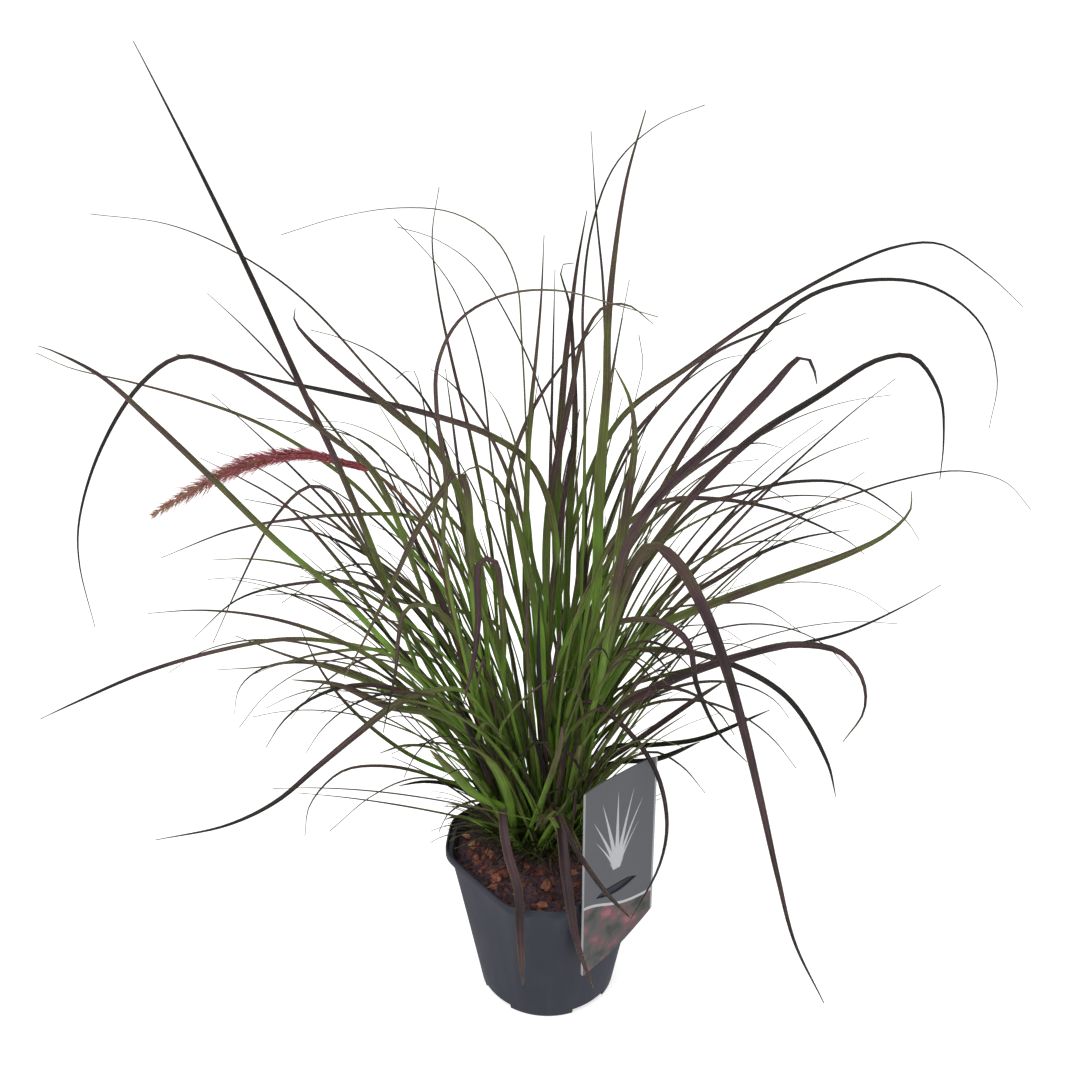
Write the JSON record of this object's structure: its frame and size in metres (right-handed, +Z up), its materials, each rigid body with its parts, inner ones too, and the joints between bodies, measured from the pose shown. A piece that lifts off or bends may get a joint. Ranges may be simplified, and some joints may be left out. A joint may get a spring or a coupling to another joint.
{
  "type": "potted fountain grass",
  "caption": "Arching clump of narrow grass blades with one bristly flower spike, rooted in soil in a tapered octagonal nursery pot with a plant label hooked over its rim.",
  "frame": {"origin": "centre of the pot's flat underside, on the ground", "axes": "+Z up along the pot's axis, -Y towards the side from which the plant is seen, +X to the right of it. Short facets of the pot's rim face +X, -X, +Y and -Y."},
  "size_m": [0.5832, 0.3959, 0.6435],
  "materials": {
    "pot_plastic": "dark blue-grey moulded polypropylene, slightly glossy",
    "potting_soil": "dark moist peat with red-brown bark",
    "label_card": "printed plastic card, satin",
    "bark": "orange-brown bark, rough",
    "flower_culm": "smooth stem, reddish",
    "flower_bristles": "deep rose bristles, soft",
    "grass_blade": "living leaf, green at its base to dark purple at its tip, satin"
  },
  "bodies": {
    "root": {"pot": "pot_plastic", "soil": "potting_soil", "plant_label": "label_card", "flower_stem": "flower_culm", "flower_spike": "flower_bristles", "bark_chip_1": "bark", "bark_chip_2": "bark", "bark_chip_3": "bark", "bark_chip_4": "bark", "bark_chip_5": "bark", "bark_chip_6": "bark", "leafy_stem_01": "grass_blade", "leafy_stem_02": "grass_blade", "leafy_stem_03": "grass_blade", "leafy_stem_04": "grass_blade", "leafy_stem_05": "grass_blade", "leafy_stem_06": "grass_blade", "leafy_stem_07": "grass_blade", "leafy_stem_08": "grass_blade", "leafy_stem_09": "grass_blade", "leafy_stem_10": "grass_blade", "leafy_stem_11": "grass_blade", "leafy_stem_12": "grass_blade", "leafy_stem_13": "grass_blade", "leafy_stem_14": "grass_blade", "leafy_stem_15": "grass_blade", "leafy_stem_16": "grass_blade", "leafy_stem_17": "grass_blade", "leafy_stem_18": "grass_blade", "leafy_stem_19": "grass_blade", "leafy_stem_20": "grass_blade", "leafy_stem_21": "grass_blade", "leafy_stem_22": "grass_blade", "leafy_stem_23": "grass_blade", "leafy_stem_24": "grass_blade", "leafy_stem_25": "grass_blade", "leafy_stem_26": "grass_blade", "leafy_stem_27": "grass_blade", "leafy_stem_28": "grass_blade", "leafy_stem_29": "grass_blade", "leafy_stem_30": "grass_blade", "leafy_stem_31": "grass_blade", "leafy_stem_32": "grass_blade", "leafy_stem_33": "grass_blade", "leafy_stem_34": "grass_blade", "leafy_stem_35": "grass_blade", "leafy_stem_36": "grass_blade", "leafy_stem_37": "grass_blade", "leafy_stem_38": "grass_blade", "leafy_stem_39": "grass_blade", "leafy_stem_40": "grass_blade", "leafy_stem_41": "grass_blade", "leafy_stem_42": "grass_blade", "leafy_stem_43": "grass_blade", "leafy_stem_44": "grass_blade"}
  },
  "joints": []
}
